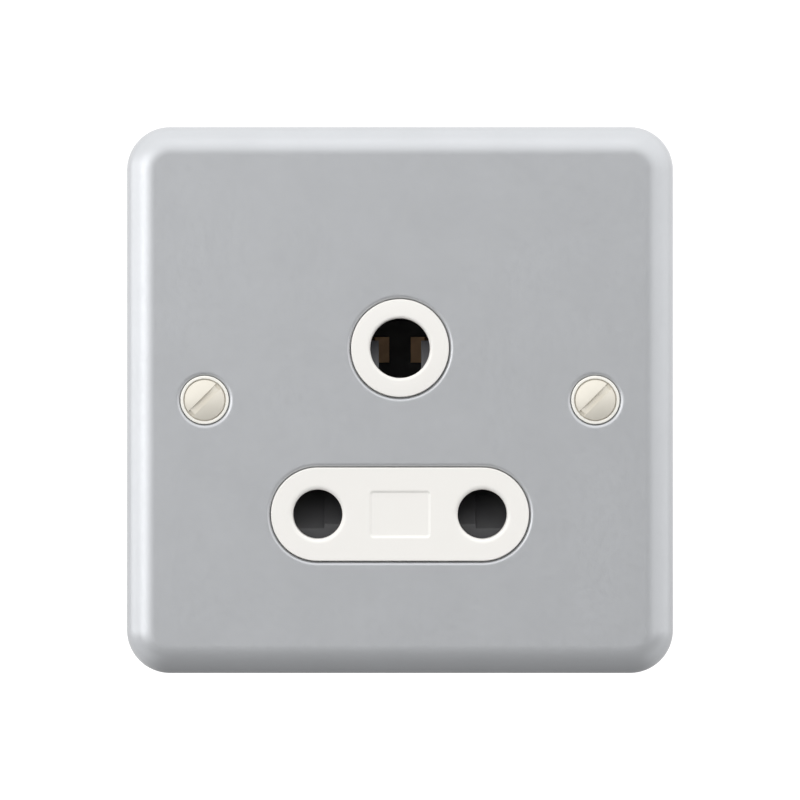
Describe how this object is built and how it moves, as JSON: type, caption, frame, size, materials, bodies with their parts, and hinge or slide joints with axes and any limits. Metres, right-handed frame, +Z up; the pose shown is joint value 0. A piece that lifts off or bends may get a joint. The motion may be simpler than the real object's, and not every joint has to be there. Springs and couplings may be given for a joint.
{
  "type": "metal clad round pin socket outlet",
  "caption": "Unswitched socket outlet for round pins: grey pressed steel plate, white insert, sprung safety shutter, brass contacts and terminals, captive fixing screws.",
  "frame": {"origin": "midway between the two fixing screws, on the plane of the plate's rear rim", "axes": "+X to the right seen from the front, +Y rearwards into the wall, +Z up towards the earth pin"},
  "size_m": [0.0846, 0.0324, 0.0846],
  "materials": {
    "plate_paint": "grey powder coat",
    "white_moulding": "satin white",
    "dark_moulding": "moulded, dark",
    "shutter_moulding": "moulded, dark grey",
    "brass": "rolled strip",
    "brass_screw": "turned",
    "nickel": "nickel plate",
    "zinc_steel": "bright zinc",
    "spring_steel": "drawn steel",
    "washer_nylon": "natural nylon"
  },
  "bodies": {
    "socket": {"front_plate": "plate_paint", "plate_pillar_left": "zinc_steel", "plate_pillar_right": "zinc_steel", "front_moulding": "white_moulding", "base_moulding": "dark_moulding", "shutter_spring": "spring_steel", "earth_contact": "brass", "live_contact": "brass", "neutral_contact": "brass", "earth_contact_clip": "spring_steel", "live_contact_clip": "spring_steel", "neutral_contact_clip": "spring_steel", "earth_terminal": "brass", "live_terminal": "brass", "neutral_terminal": "brass", "earth_terminal_screw": "brass_screw", "live_terminal_screw": "brass_screw", "neutral_terminal_screw": "brass_screw", "earth_strap": "brass", "assembly_screw_left": "zinc_steel", "assembly_screw_right": "zinc_steel", "fixing_screw_left": "nickel", "fixing_screw_right": "nickel", "retaining_washer_left": "washer_nylon", "retaining_washer_right": "washer_nylon"},
    "shutter": {"shutter": "shutter_moulding"}
  },
  "joints": [
    {"name": "shutter_slide", "type": "slide", "parent": "socket", "child": "shutter", "axis": [0, 0, -1], "range_m": [0, 0.008], "stiffness_N_per_m": 100, "springref_m": -0.01, "deforming": ["shutter_spring"]}
  ]
}
